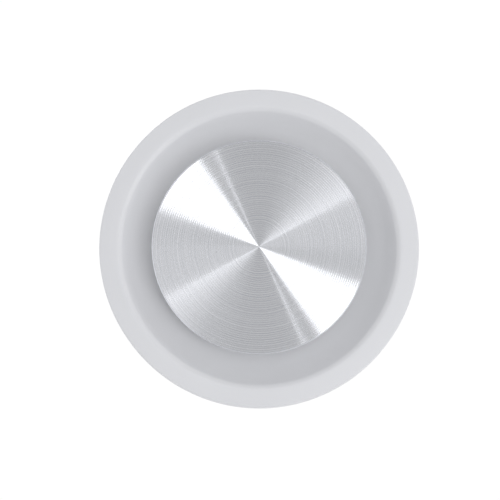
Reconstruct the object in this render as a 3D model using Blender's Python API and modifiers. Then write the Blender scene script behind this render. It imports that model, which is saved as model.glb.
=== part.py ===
"""Adjustable round ceiling air valve for a 100 mm duct.

The ceiling plane is z = 0. The neck points up into the duct and the disc faces down into the room.
Turning the disc screws its spindle through the bush of the spider, which opens or closes the valve.
All sizes are in metres and the axis of the valve is the Z axis.
"""

import math

import bmesh
import bpy

GAP = 0.0003  # left between pieces that touch
STEPS = 60  # facets round a large turned piece
SMALL_STEPS = 20  # facets round a small one
SHARP_ANGLE = math.radians(32)

# Body: rim, raised crest and ogee dish
FLANGE_RADIUS = 0.075
RIM_CORNER = 0.0009
RIM_FRONT_Z = -0.0111
RIM_WALL = 0.0018
CREST_RADIUS = 0.0671
CREST_WIDTH = 0.0012
CREST_Z = -0.012
DISH_RADIUS = 0.050  # where the ogee runs out into the flat seat
SEAT_Z = -0.0042
OGEE_SHARE = 0.2  # share of the ogee that belongs to the round shoulder under the crest
WALL = 0.0022

# Body: neck that goes into the duct
NECK_RADIUS = 0.0485
NECK_BORE = 0.0462
NECK_TOP = 0.050
NECK_MOUTH_ROUND = 0.002
EDGE = 0.0004

# Spider, its bosses and screws
ARM_ANGLES = [math.radians(a) for a in (90, 210, 330)]
BOSS_CIRCLE = 0.042
BOSS_RADIUS = 0.0045
BOSS_BOTTOM = 0.004
BOSS_TOP = 0.017
BOSS_WEB = 0.006
LUG_RADIUS = 0.0038
LUG_HEIGHT = 0.003
ARM_WIDTH = 0.004
HUB_RADIUS = 0.009
HUB_HEIGHT = 0.009
HUB_BORE = 0.0059
SCREW_RADIUS = 0.0013
SCREW_LENGTH = 0.012
SCREW_HEAD_RADIUS = 0.0029
SCREW_HEAD_HEIGHT = 0.0021

# Spindle and its nuts: an M8 x 60 hexagon bolt, pitch 1.25 mm
SPINDLE_RADIUS = 0.004
SPINDLE_LENGTH = 0.060
SPINDLE_BORE = 0.0043
HEX_ACROSS_FLATS = 0.013
HEAD_HEIGHT = 0.0053
LOCK_NUT_HEIGHT = 0.0065
CLAMP_NUT_HEIGHT = 0.004
WASHER_RADIUS = 0.0078
WASHER_HEIGHT = 0.0014
SLIT_ANGLE = math.radians(70)
CLIP_GROOVE_RADIUS = 0.0032
END_CLIP_RADIUS = 0.0072
END_CLIP_HEIGHT = 0.001
BUSH_RADIUS = 0.0056
BUSH_FLANGE_RADIUS = 0.0082
BUSH_FLANGE = 0.0012

# Disc: turned aluminium face on a ribbed carrier
FACE_RADIUS = 0.0503
FACE_THICKNESS = 0.0012
FACE_CHAMFER = 0.0004
FACE_FRONT_Z = -0.0146
PAD_RADIUS = 0.046
PAD_THICKNESS = 0.0005
CARRIER_RADIUS = 0.0496
CARRIER_PLATE = 0.0018
CARRIER_BOSS_RADIUS = 0.0102
CARRIER_WEB = 0.0019
CARRIER_LEDGE_RADIUS = 0.0466
CARRIER_LEDGE_WIDTH = 0.0012
CARRIER_RIBS = 6
RIB_WIDTH = 0.0016
RIB_HEIGHT = 0.003
SEAL_INNER_RADIUS = 0.0469
SEAL_OUTER_RADIUS = 0.0495

# Travel of the disc along its thread, from the position it rests in
CLOSING_TRAVEL = 0.004375  # three and a half turns
OPENING_TRAVEL = 0.0125  # ten turns

# Anti-rattle spring
SPRING_RADIUS = 0.006
SPRING_WIRE = 0.00045
SPRING_TURNS = 6
SPRING_END_FLATNESS = 0.6
SEAT_CUP_RADIUS = 0.0079
SEAT_CUP_WALL = 0.0007
SEAT_CUP_HEIGHT = 0.0026

# Gaskets
GASKET_INNER_RADIUS = 0.0508
GASKET_OUTER_RADIUS = 0.058
NECK_SEAL_BOTTOM = 0.006
NECK_SEAL_HEIGHT = 0.008
NECK_SEAL_LIP_RADIUS = 0.0512
NECK_SEAL_BAND = 0.0009

# Spring clips hooked over the end of the neck
CLIP_ANGLES = [math.radians(a) for a in (30, 150, 270)]
CLIP_WIDTH = 0.009
CLIP_THICKNESS = 0.0005
CLIP_NOTCH_DEPTH = 0.001
CLIP_INNER_LEG = 0.010
CLIP_OUTER_LEG = 0.024
CLIP_BOW = 0.0046
CLIP_HALF_WAVE = 0.034

# Heights that follow from the sizes above
PAD_FRONT_Z = FACE_FRONT_Z + FACE_THICKNESS + GAP
CARRIER_FRONT_Z = PAD_FRONT_Z + PAD_THICKNESS + GAP
CARRIER_BACK_Z = CARRIER_FRONT_Z + CARRIER_PLATE
HEAD_FRONT_Z = CARRIER_FRONT_Z + GAP
HEAD_BACK_Z = HEAD_FRONT_Z + HEAD_HEIGHT
POCKET_TOP_Z = HEAD_BACK_Z + GAP
CARRIER_BOSS_TOP = POCKET_TOP_Z + CARRIER_WEB
CLAMP_WASHER_Z = CARRIER_BOSS_TOP + GAP
CLAMP_NUT_Z = CLAMP_WASHER_Z + WASHER_HEIGHT + GAP
SEAT_CUP_Z = CLAMP_NUT_Z + CLAMP_NUT_HEIGHT + GAP
SPIDER_Z = BOSS_TOP + GAP
BUSH_FLANGE_Z = BOSS_TOP - BUSH_FLANGE
HUB_TOP_Z = SPIDER_Z + HUB_HEIGHT
LOCK_WASHER_Z = HUB_TOP_Z + GAP
LOCK_NUT_Z = LOCK_WASHER_Z + WASHER_HEIGHT + GAP
END_CLIP_Z = LOCK_NUT_Z + LOCK_NUT_HEIGHT + OPENING_TRAVEL + GAP
SPRING_BOTTOM_Z = SEAT_CUP_Z + SEAT_CUP_WALL + GAP
SPRING_TOP_Z = BUSH_FLANGE_Z - GAP
SEAL_TOP_Z = SEAT_Z - GAP - CLOSING_TRAVEL
SEAL_BOTTOM_Z = CARRIER_BACK_Z + GAP


def clear_scene():
    for obj in list(bpy.data.objects):
        bpy.data.objects.remove(obj, do_unlink=True)


def new_collection(name):
    collection = bpy.data.collections.new(name)
    bpy.context.scene.collection.children.link(collection)
    return collection


def new_material(name, colour, roughness, metallic=0.0):
    material = bpy.data.materials.new(name)
    material.use_nodes = True
    shader = material.node_tree.nodes["Principled BSDF"]
    shader.inputs["Base Color"].default_value = (*colour, 1.0)
    shader.inputs["Roughness"].default_value = roughness
    shader.inputs["Metallic"].default_value = metallic
    return material


def arc(centre, radius, start, end, count):
    """Points of an arc in (radius, height), with angles in degrees and both ends included."""
    points = []
    for i in range(count + 1):
        angle = math.radians(start + (end - start) * i / count)
        points.append((centre[0] + radius * math.cos(angle), centre[1] + radius * math.sin(angle)))
    return points


def turned(name, profile, steps=STEPS, closed=True):
    """Turned piece: a closed profile clear of the axis, or an open one that starts and ends on it."""
    edges = [(i, i + 1) for i in range(len(profile) - 1)]
    if closed:
        edges.append((len(profile) - 1, 0))
    mesh = bpy.data.meshes.new(name)
    mesh.from_pydata([(r, 0.0, z) for r, z in profile], edges, [])
    obj = bpy.data.objects.new(name, mesh)
    parts.objects.link(obj)
    screw = obj.modifiers.new("turn", "SCREW")
    screw.axis = "Z"
    screw.angle = 2 * math.pi
    screw.steps = steps
    screw.render_steps = steps
    screw.use_merge_vertices = not closed
    screw.merge_threshold = 0.00001
    return obj


def prism(name, radius, bottom, top, segments=SMALL_STEPS, reach=0.0, angle=0.0):
    """Round or polygonal bar from bottom to top, at distance reach from the axis in direction angle."""
    mesh = bpy.data.meshes.new(name)
    shape = bmesh.new()
    size = {"segments": segments, "radius1": radius, "radius2": radius, "depth": top - bottom}
    bmesh.ops.create_cone(shape, cap_ends=True, **size)
    shape.to_mesh(mesh)
    shape.free()
    obj = bpy.data.objects.new(name, mesh)
    obj.location = (reach * math.cos(angle), reach * math.sin(angle), (bottom + top) / 2)
    obj.rotation_euler.z = angle
    parts.objects.link(obj)
    return obj


def block(name, inner, outer, width, bottom, top, angle):
    """Box that reaches from radius inner to radius outer in direction angle."""
    mesh = bpy.data.meshes.new(name)
    shape = bmesh.new()
    bmesh.ops.create_cube(shape, size=1.0)
    bmesh.ops.scale(shape, vec=(outer - inner, width, top - bottom), verts=shape.verts)
    shape.to_mesh(mesh)
    shape.free()
    middle = (inner + outer) / 2
    obj = bpy.data.objects.new(name, mesh)
    obj.location = (middle * math.cos(angle), middle * math.sin(angle), (bottom + top) / 2)
    obj.rotation_euler.z = angle
    parts.objects.link(obj)
    return obj


def upright_curve(name, points, angle, half_width, filled):
    """Flat curve drawn in (radius, height), stood upright in direction angle and widened both ways."""
    curve = bpy.data.curves.new(name, "CURVE")
    curve.dimensions = "2D"
    curve.fill_mode = "BOTH" if filled else "NONE"
    curve.extrude = half_width
    spline = curve.splines.new("POLY")
    spline.points.add(len(points) - 1)
    for point, (r, z) in zip(spline.points, points):
        point.co = (r, z, 0.0, 1.0)
    spline.use_cyclic_u = filled
    obj = bpy.data.objects.new(name, curve)
    obj.rotation_euler = (math.pi / 2, 0.0, angle)
    parts.objects.link(obj)
    return obj


def to_mesh(obj):
    """The same object as a welded mesh, with its modifiers taken into it."""
    bpy.context.view_layer.update()
    graph = bpy.context.evaluated_depsgraph_get()
    mesh = bpy.data.meshes.new_from_object(obj.evaluated_get(graph))
    shape = bmesh.new()
    shape.from_mesh(mesh)
    bmesh.ops.remove_doubles(shape, verts=shape.verts, dist=0.000001)
    bmesh.ops.recalc_face_normals(shape, faces=shape.faces)
    shape.to_mesh(mesh)
    shape.free()
    name = obj.name
    made = bpy.data.objects.new(name, mesh)
    made.matrix_world = obj.matrix_world.copy()
    parts.objects.link(made)
    bpy.data.objects.remove(obj, do_unlink=True)
    made.name = name
    return made


def combine(obj, tool, operation):
    """Boolean of obj with tool, which moves to the hidden collection of cutters."""
    if tool.name in parts.objects:
        parts.objects.unlink(tool)
        cutters.objects.link(tool)
    tool.hide_render = True
    tool.display_type = "WIRE"
    boolean = obj.modifiers.new(tool.name, "BOOLEAN")
    boolean.operation = operation
    boolean.solver = "EXACT"
    boolean.object = tool


def finish(obj, material, parent=None):
    """Takes in the modifiers, shades the round faces smooth and gives the material and the parent."""
    made = to_mesh(obj)
    made.data.shade_smooth()
    made.data.set_sharp_from_angle(angle=SHARP_ANGLE)
    made.data.materials.clear()
    made.data.materials.append(material)
    if parent is not None:
        bpy.context.view_layer.update()
        made.parent = parent
        made.matrix_parent_inverse = parent.matrix_world.inverted()
    return made


def new_axis(name, location=(0.0, 0.0, 0.0), rotation=(0.0, 0.0, 0.0)):
    """Empty on a joint's axis, which carries the pieces that move together."""
    axis = bpy.data.objects.new(name, None)
    axis.location = location
    axis.rotation_euler = rotation
    axis.empty_display_size = 0.01
    parts.objects.link(axis)
    return axis


def ogee(offset):
    """Curve of the dish from crest to seat, moved by offset into the wall behind it."""
    crest_inner = CREST_RADIUS - CREST_WIDTH / 2
    width = crest_inner - DISH_RADIUS
    height = SEAT_Z - CREST_Z
    bend = math.degrees(2 * math.atan(height / width))
    both = width / math.sin(math.radians(bend))
    shoulder = OGEE_SHARE * both
    hollow = both - shoulder
    points = arc((crest_inner, CREST_Z + shoulder), shoulder - offset, 270, 270 - bend, 4)
    points += arc((DISH_RADIUS, SEAT_Z - hollow), hollow + offset, 90 - bend, 90, 6)[1:]
    return points


def gasket_line(radius):
    """Height of the dish's back at a radius inside its hollow part."""
    back = ogee(WALL)
    for (r0, z0), (r1, z1) in zip(back, back[1:]):
        if r1 <= radius <= r0:
            return z1 + (z0 - z1) * (radius - r1) / (r0 - r1)
    return SEAT_Z + WALL


def make_valve_body(material):
    crest_outer = CREST_RADIUS + CREST_WIDTH / 2
    rim_inner = FLANGE_RADIUS - RIM_WALL
    slope = (RIM_FRONT_Z - CREST_Z) / (FLANGE_RADIUS - RIM_CORNER - crest_outer)
    rim_back = CREST_Z + slope * (rim_inner - crest_outer) + WALL
    mouth = NECK_BORE + NECK_MOUTH_ROUND
    profile = [(FLANGE_RADIUS, -EDGE)]
    corner = (FLANGE_RADIUS - RIM_CORNER, RIM_FRONT_Z + RIM_CORNER)
    profile += arc(corner, RIM_CORNER, 0, -90, 3)
    profile += [(crest_outer, CREST_Z)]
    profile += ogee(0.0)
    profile += arc((mouth, SEAT_Z + NECK_MOUTH_ROUND), NECK_MOUTH_ROUND, 270, 180, 3)
    profile += [(NECK_BORE, NECK_TOP - EDGE), (NECK_BORE + EDGE, NECK_TOP)]
    profile += [(NECK_RADIUS - EDGE, NECK_TOP), (NECK_RADIUS, NECK_TOP - EDGE)]
    profile += [(NECK_RADIUS, SEAT_Z + WALL)]
    profile += ogee(WALL)[::-1]
    profile += [(crest_outer, CREST_Z + WALL), (rim_inner, rim_back), (rim_inner, 0.0)]
    profile += [(FLANGE_RADIUS - EDGE, 0.0)]
    body = turned("valve_body", profile)
    wall = (NECK_BORE + NECK_RADIUS) / 2
    web_bottom = BOSS_BOTTOM + EDGE
    bore_radius = SCREW_RADIUS + GAP
    bore_bottom = SPIDER_Z + LUG_HEIGHT - SCREW_LENGTH
    for number, angle in enumerate(ARM_ANGLES, 1):
        boss = prism(f"boss_{number}", BOSS_RADIUS, BOSS_BOTTOM, BOSS_TOP, 16, BOSS_CIRCLE, angle)
        web = block(f"boss_web_{number}", BOSS_CIRCLE, wall, BOSS_WEB, web_bottom, BOSS_TOP - EDGE, angle)
        bore = prism(f"boss_bore_{number}", bore_radius, bore_bottom, SPIDER_Z, 12, BOSS_CIRCLE, angle)
        combine(body, boss, "UNION")
        combine(body, web, "UNION")
        combine(body, bore, "DIFFERENCE")
    notch_sides = (NECK_BORE - WALL, NECK_RADIUS + WALL)
    notch_bottom = NECK_TOP - CLIP_NOTCH_DEPTH
    for number, angle in enumerate(CLIP_ANGLES, 1):
        width = CLIP_WIDTH + 4 * GAP
        notch = block(f"clip_notch_{number}", *notch_sides, width, notch_bottom, NECK_TOP + WALL, angle)
        combine(body, notch, "DIFFERENCE")
    return finish(body, material)


def make_ceiling_gasket(material):
    """Foam ring between the ceiling and the back of the dish, whose underside follows the dish."""
    profile = [(GASKET_OUTER_RADIUS, 0.0)]
    for share in (0.0, 0.5, 1.0):
        radius = GASKET_OUTER_RADIUS + share * (GASKET_INNER_RADIUS - GASKET_OUTER_RADIUS)
        profile.append((radius, gasket_line(radius) + GAP))
    profile.append((GASKET_INNER_RADIUS, 0.0))
    return finish(turned("ceiling_gasket", profile), material)


def make_neck_seal(material):
    """Rubber band round the neck with two thin lips that wipe the inside of the duct."""
    inner = NECK_RADIUS + GAP
    band = inner + NECK_SEAL_BAND
    top = NECK_SEAL_BOTTOM + NECK_SEAL_HEIGHT
    lip = NECK_SEAL_HEIGHT / 4
    profile = [(inner, top), (band, top)]
    for start in (top - lip, top - 3 * lip):
        profile += [(band, start), (NECK_SEAL_LIP_RADIUS, start - lip / 2), (band, start - 0.7 * lip)]
    profile += [(band, NECK_SEAL_BOTTOM), (inner, NECK_SEAL_BOTTOM)]
    return finish(turned("neck_seal", profile), material)


def make_spider(material):
    lug_top = SPIDER_Z + LUG_HEIGHT
    hole_radius = SCREW_RADIUS + GAP
    hub = prism("spider", HUB_RADIUS, SPIDER_Z, HUB_TOP_Z, 32)
    arm_outline = [
        (HUB_BORE + WALL / 2, SPIDER_Z),
        (BOSS_CIRCLE, SPIDER_Z),
        (BOSS_CIRCLE, lug_top - EDGE),
        (BOSS_CIRCLE - 2 * LUG_RADIUS, lug_top),
        (HUB_RADIUS + WALL, HUB_TOP_Z - WALL),
        (HUB_BORE + WALL / 2, HUB_TOP_Z - WALL),
    ]
    for number, angle in enumerate(ARM_ANGLES, 1):
        arm = to_mesh(upright_curve(f"arm_{number}", arm_outline, angle, ARM_WIDTH / 2, True))
        lug = prism(f"lug_{number}", LUG_RADIUS, SPIDER_Z, lug_top, SMALL_STEPS, BOSS_CIRCLE, angle)
        hole = prism(f"lug_hole_{number}", hole_radius, BOSS_BOTTOM, HUB_TOP_Z, 12, BOSS_CIRCLE, angle)
        combine(hub, arm, "UNION")
        combine(hub, lug, "UNION")
        combine(hub, hole, "DIFFERENCE")
    combine(hub, prism("hub_bore", HUB_BORE, BOSS_BOTTOM, NECK_TOP, 24), "DIFFERENCE")
    return finish(hub, material)


def make_spider_screws(material):
    """Pan-head screws that hold the spider's lugs on the bosses."""
    head_z = SPIDER_Z + LUG_HEIGHT + GAP
    tip = SCREW_RADIUS / 2
    crown = SCREW_HEAD_HEIGHT / 3
    profile = [(0.0, head_z + SCREW_HEAD_HEIGHT), (SCREW_HEAD_RADIUS * 0.6, head_z + SCREW_HEAD_HEIGHT)]
    profile += [(SCREW_HEAD_RADIUS, head_z + crown), (SCREW_HEAD_RADIUS, head_z), (SCREW_RADIUS, head_z)]
    profile += [(SCREW_RADIUS, head_z - SCREW_LENGTH + 2 * tip), (tip, head_z - SCREW_LENGTH)]
    profile += [(0.0, head_z - SCREW_LENGTH)]
    for number, angle in enumerate(ARM_ANGLES, 1):
        screw = turned(f"spider_screw_{number}", profile, 12, closed=False)
        screw.location = (BOSS_CIRCLE * math.cos(angle), BOSS_CIRCLE * math.sin(angle), 0.0)
        finish(screw, material)


def make_spindle_bush(material):
    """Flanged brass bush in the hub, which carries the thread of the spindle."""
    top = HUB_TOP_Z - GAP
    profile = [(SPINDLE_BORE, top), (BUSH_RADIUS, top), (BUSH_RADIUS, BOSS_TOP)]
    profile += [(BUSH_FLANGE_RADIUS, BOSS_TOP), (BUSH_FLANGE_RADIUS, BUSH_FLANGE_Z)]
    profile += [(SPINDLE_BORE, BUSH_FLANGE_Z)]
    return finish(turned("spindle_bush", profile, 24), material)


def make_washer(name, bottom, material, parent, split):
    top = bottom + WASHER_HEIGHT
    profile = [(SPINDLE_BORE, top), (WASHER_RADIUS, top), (WASHER_RADIUS, bottom), (SPINDLE_BORE, bottom)]
    washer = turned(name, profile, 24)
    if split:
        slit = block(f"{name}_slit", 0.0, 2 * WASHER_RADIUS, 2 * EDGE, bottom - GAP, top + GAP, SLIT_ANGLE)
        combine(washer, slit, "DIFFERENCE")
    return finish(washer, material, parent)


def hexagon(name, bottom, height):
    """Hexagon bar with its corners turned off at both ends."""
    top = bottom + height
    flat = HEX_ACROSS_FLATS / 2
    corner = HEX_ACROSS_FLATS / math.sqrt(3)
    bar = prism(name, corner, bottom, top, 6)
    outside = corner + EDGE
    drop = (outside - flat) * math.tan(math.radians(30))
    blank = [(0.0, top), (flat, top), (outside, top - drop)]
    blank += [(outside, bottom + drop), (flat, bottom), (0.0, bottom)]
    combine(bar, turned(f"{name}_blank", blank, 24, closed=False), "INTERSECT")
    return bar


def make_nut(name, bottom, height, material, parent):
    nut = hexagon(name, bottom, height)
    combine(nut, prism(f"{name}_bore", SPINDLE_BORE, bottom - WALL, bottom + height + WALL), "DIFFERENCE")
    return finish(nut, material, parent)


def make_spindle(material, parent):
    """Hexagon bolt with a groove near its end for the end clip."""
    end = HEAD_BACK_Z + SPINDLE_LENGTH
    groove = (END_CLIP_Z - GAP, END_CLIP_Z + END_CLIP_HEIGHT + GAP)
    profile = [(0.0, end), (SPINDLE_RADIUS - 2 * EDGE, end), (SPINDLE_RADIUS, end - 2 * EDGE)]
    profile += [(SPINDLE_RADIUS, groove[1]), (CLIP_GROOVE_RADIUS, groove[1])]
    profile += [(CLIP_GROOVE_RADIUS, groove[0]), (SPINDLE_RADIUS, groove[0])]
    profile += [(SPINDLE_RADIUS, HEAD_FRONT_Z + HEAD_HEIGHT / 2)]
    profile += [(0.0, HEAD_FRONT_Z + HEAD_HEIGHT / 2)]
    bolt = turned("spindle_bolt", profile, SMALL_STEPS, closed=False)
    combine(bolt, hexagon("bolt_head", HEAD_FRONT_Z, HEAD_HEIGHT), "UNION")
    return finish(bolt, material, parent)


def make_end_clip(material, parent):
    """Open retaining ring in the spindle's groove, the stop at the open end of the travel."""
    top = END_CLIP_Z + END_CLIP_HEIGHT
    bore = CLIP_GROOVE_RADIUS + GAP
    profile = [(bore, top), (END_CLIP_RADIUS, top), (END_CLIP_RADIUS, END_CLIP_Z), (bore, END_CLIP_Z)]
    clip = turned("end_clip", profile, SMALL_STEPS)
    mouth = block("end_clip_mouth", 0.0, 2 * END_CLIP_RADIUS, 2 * bore, END_CLIP_Z - WALL, top + WALL, 0.0)
    combine(clip, mouth, "DIFFERENCE")
    return finish(clip, material, parent)


def make_spring_seat(material, parent):
    """Pressed cup that holds the lower end of the spring and doesn't turn with the disc."""
    floor = SEAT_CUP_Z + SEAT_CUP_WALL
    top = SEAT_CUP_Z + SEAT_CUP_HEIGHT
    profile = [(SEAT_CUP_RADIUS, top), (SEAT_CUP_RADIUS, SEAT_CUP_Z), (SPINDLE_BORE, SEAT_CUP_Z)]
    profile += [(SPINDLE_BORE, floor), (SEAT_CUP_RADIUS - SEAT_CUP_WALL, floor)]
    profile += [(SEAT_CUP_RADIUS - SEAT_CUP_WALL, top)]
    return finish(turned("spring_seat", profile, 24), material, parent)


def make_spring(material, parent):
    points_per_turn = 12
    count = SPRING_TURNS * points_per_turn
    bottom = SPRING_BOTTOM_Z + SPRING_WIRE
    rise = SPRING_TOP_Z - SPRING_WIRE - bottom
    curve = bpy.data.curves.new("compression_spring", "CURVE")
    curve.dimensions = "3D"
    curve.bevel_depth = SPRING_WIRE
    curve.bevel_resolution = 2
    curve.use_fill_caps = True
    spline = curve.splines.new("POLY")
    spline.points.add(count)
    for i, point in enumerate(spline.points):
        angle = 2 * math.pi * i / points_per_turn
        share = i / count
        # The first and the last turn lie nearly flat, like the closed ends of a wound spring.
        flattening = SPRING_END_FLATNESS * math.sin(2 * math.pi * share) / (2 * math.pi)
        height = bottom + rise * (share - flattening)
        point.co = (SPRING_RADIUS * math.cos(angle), SPRING_RADIUS * math.sin(angle), height, 1.0)
    spring = bpy.data.objects.new("compression_spring", curve)
    parts.objects.link(spring)
    return finish(spring, material, parent)


def make_disc_carrier(material, parent):
    """Moulded plate with a hexagon pocket for the bolt head, a ledge for the seal and radial ribs."""
    ledge_inner = CARRIER_LEDGE_RADIUS - CARRIER_LEDGE_WIDTH
    ledge_top = CARRIER_BACK_Z + (SEAL_TOP_Z - CARRIER_BACK_Z) / 2
    profile = [(0.0, CARRIER_BOSS_TOP), (CARRIER_BOSS_RADIUS - EDGE, CARRIER_BOSS_TOP)]
    profile += [(CARRIER_BOSS_RADIUS, CARRIER_BOSS_TOP - EDGE), (CARRIER_BOSS_RADIUS, CARRIER_BACK_Z)]
    profile += [(ledge_inner, CARRIER_BACK_Z), (ledge_inner, ledge_top), (CARRIER_LEDGE_RADIUS, ledge_top)]
    profile += [(CARRIER_LEDGE_RADIUS, CARRIER_BACK_Z), (CARRIER_RADIUS, CARRIER_BACK_Z)]
    profile += [(CARRIER_RADIUS, CARRIER_FRONT_Z), (0.0, CARRIER_FRONT_Z)]
    carrier = turned("disc_carrier", profile, closed=False)
    rib_ends = (CARRIER_BOSS_RADIUS - WALL, ledge_inner + CARRIER_LEDGE_WIDTH / 2)
    rib_heights = (CARRIER_FRONT_Z + CARRIER_PLATE / 2, CARRIER_BACK_Z + RIB_HEIGHT)
    for number in range(CARRIER_RIBS):
        angle = math.radians(360 / CARRIER_RIBS * number)
        rib = block(f"rib_{number + 1}", *rib_ends, RIB_WIDTH, *rib_heights, angle)
        combine(carrier, rib, "UNION")
    pocket_corner = (HEX_ACROSS_FLATS + 2 * GAP) / math.sqrt(3)
    pocket = prism("head_pocket", pocket_corner, CARRIER_FRONT_Z - WALL, POCKET_TOP_Z, 6)
    combine(carrier, pocket, "DIFFERENCE")
    bore = prism("carrier_bore", SPINDLE_BORE, CARRIER_FRONT_Z, CARRIER_BOSS_TOP + WALL)
    combine(carrier, bore, "DIFFERENCE")
    return finish(carrier, material, parent)


def make_seat_seal(material, parent):
    """Rubber ring on the carrier's edge, with a domed top that meets the seat when the valve is shut."""
    middle = (SEAL_INNER_RADIUS + SEAL_OUTER_RADIUS) / 2
    half = (SEAL_OUTER_RADIUS - SEAL_INNER_RADIUS) / 2
    shoulder = SEAL_BOTTOM_Z + (SEAL_TOP_Z - SEAL_BOTTOM_Z) / 2
    profile = [(SEAL_INNER_RADIUS, SEAL_BOTTOM_Z), (SEAL_INNER_RADIUS, shoulder)]
    for angle in (135, 90, 45):
        direction = math.radians(angle)
        height = shoulder + (SEAL_TOP_Z - shoulder) * math.sin(direction)
        profile.append((middle + half * math.cos(direction), height))
    profile += [(SEAL_OUTER_RADIUS, shoulder), (SEAL_OUTER_RADIUS, SEAL_BOTTOM_Z)]
    return finish(turned("seat_seal", profile), material, parent)


def make_adhesive_pad(material, parent):
    back = PAD_FRONT_Z + PAD_THICKNESS
    profile = [(0.0, back), (PAD_RADIUS, back), (PAD_RADIUS, PAD_FRONT_Z), (0.0, PAD_FRONT_Z)]
    return finish(turned("adhesive_pad", profile, 48, closed=False), material, parent)


def make_face_disc(material, parent):
    back = FACE_FRONT_Z + FACE_THICKNESS
    profile = [(0.0, back), (FACE_RADIUS, back), (FACE_RADIUS, FACE_FRONT_Z + FACE_CHAMFER)]
    profile += [(FACE_RADIUS - FACE_CHAMFER, FACE_FRONT_Z), (0.0, FACE_FRONT_Z)]
    return finish(turned("face_disc", profile, closed=False), material, parent)


def make_spring_clips(material):
    """Steel strips hooked over the end of the neck, whose outer legs bow out and grip the duct."""
    pivot_radius = (NECK_BORE + NECK_RADIUS) / 2
    pivot_z = NECK_TOP - CLIP_NOTCH_DEPTH
    bend = (NECK_RADIUS - NECK_BORE) / 2 + GAP + CLIP_THICKNESS / 2
    points = [(-bend, -CLIP_INNER_LEG), (-bend, -CLIP_INNER_LEG / 2)]
    points += arc((0.0, 0.0), bend, 180, 0, 8)
    bow_steps = 10
    for i in range(1, bow_steps + 1):
        depth = CLIP_OUTER_LEG * i / bow_steps
        points.append((bend + CLIP_BOW * math.sin(math.pi * depth / CLIP_HALF_WAVE), -depth))
    for number, angle in enumerate(CLIP_ANGLES, 1):
        place = (pivot_radius * math.cos(angle), pivot_radius * math.sin(angle), pivot_z)
        hinge = new_axis(f"clip_hinge_{number}", place, (0.0, 0.0, angle))
        strip = upright_curve(f"spring_clip_{number}", points, angle, CLIP_WIDTH / 2, False)
        strip.location = place
        solidify = strip.modifiers.new("sheet", "SOLIDIFY")
        solidify.thickness = CLIP_THICKNESS
        solidify.offset = 0.0
        finish(strip, material, hinge)


clear_scene()
parts = new_collection("ceiling_air_valve")
cutters = new_collection("cutters")

white_plastic = new_material("white_plastic", (0.80, 0.81, 0.83), 0.38)
turned_aluminium = new_material("turned_aluminium", (0.82, 0.82, 0.83), 0.28, 1.0)
carrier_plastic = new_material("carrier_plastic", (0.78, 0.79, 0.81), 0.5)
black_rubber = new_material("black_rubber", (0.03, 0.03, 0.032), 0.75)
grey_foam = new_material("grey_foam", (0.16, 0.16, 0.17), 0.95)
pad_foam = new_material("pad_foam", (0.82, 0.81, 0.77), 0.9)
zinc_steel = new_material("zinc_steel", (0.62, 0.63, 0.65), 0.32, 1.0)
spring_steel = new_material("spring_steel", (0.48, 0.49, 0.51), 0.3, 1.0)
brass = new_material("brass", (0.72, 0.55, 0.24), 0.3, 1.0)

make_valve_body(white_plastic)
make_ceiling_gasket(grey_foam)
make_neck_seal(black_rubber)
make_spider(carrier_plastic)
make_spider_screws(zinc_steel)
make_spindle_bush(brass)
make_washer("lock_washer", LOCK_WASHER_Z, spring_steel, None, split=True)
make_spring_clips(spring_steel)

lock_nut_axis = new_axis("lock_nut_axis")
make_nut("lock_nut", LOCK_NUT_Z, LOCK_NUT_HEIGHT, zinc_steel, lock_nut_axis)

travel_axis = new_axis("travel_axis")
make_spring_seat(zinc_steel, travel_axis)
make_spring(spring_steel, travel_axis)

disc_axis = new_axis("disc_axis")
make_spindle(zinc_steel, disc_axis)
make_washer("clamp_washer", CLAMP_WASHER_Z, zinc_steel, disc_axis, split=False)
make_nut("clamp_nut", CLAMP_NUT_Z, CLAMP_NUT_HEIGHT, zinc_steel, disc_axis)
make_end_clip(spring_steel, disc_axis)
make_disc_carrier(carrier_plastic, disc_axis)
make_seat_seal(black_rubber, disc_axis)
make_adhesive_pad(pad_foam, disc_axis)
make_face_disc(turned_aluminium, disc_axis)
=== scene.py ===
import math

import bmesh
import bpy
from mathutils import Matrix, Vector


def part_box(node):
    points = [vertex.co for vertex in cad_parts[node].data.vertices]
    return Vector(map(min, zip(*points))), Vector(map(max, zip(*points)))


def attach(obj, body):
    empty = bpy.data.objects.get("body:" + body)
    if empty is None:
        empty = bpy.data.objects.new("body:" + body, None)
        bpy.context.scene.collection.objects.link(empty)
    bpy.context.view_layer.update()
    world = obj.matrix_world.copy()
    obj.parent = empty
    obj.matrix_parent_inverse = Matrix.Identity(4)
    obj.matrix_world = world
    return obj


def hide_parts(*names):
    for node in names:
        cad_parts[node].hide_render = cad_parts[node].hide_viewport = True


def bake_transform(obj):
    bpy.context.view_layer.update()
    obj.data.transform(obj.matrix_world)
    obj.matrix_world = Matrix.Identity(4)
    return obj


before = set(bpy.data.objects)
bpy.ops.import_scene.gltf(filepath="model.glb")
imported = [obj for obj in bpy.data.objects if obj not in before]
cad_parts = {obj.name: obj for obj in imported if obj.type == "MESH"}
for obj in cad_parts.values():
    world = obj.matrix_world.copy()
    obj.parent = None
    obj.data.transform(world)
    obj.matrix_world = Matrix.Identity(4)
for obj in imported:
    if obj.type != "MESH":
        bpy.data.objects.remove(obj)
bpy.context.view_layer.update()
mm = 0.001
fullTurn = 2 * math.pi
print("frame loaded with", len(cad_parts), "nodes")


# Small tools shared by all pieces

def addNode(tree, kind, values=None, **settings):
    # values holds sockets or plain numbers for the inputs, settings the node's own properties
    node = tree.nodes.new(kind)
    for name, value in settings.items():
        setattr(node, name, value)
    for socket, value in (values or {}).items():
        if isinstance(value, bpy.types.NodeSocket):
            tree.links.new(value, node.inputs[socket])
        else:
            node.inputs[socket].default_value = value
    return node


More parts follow.
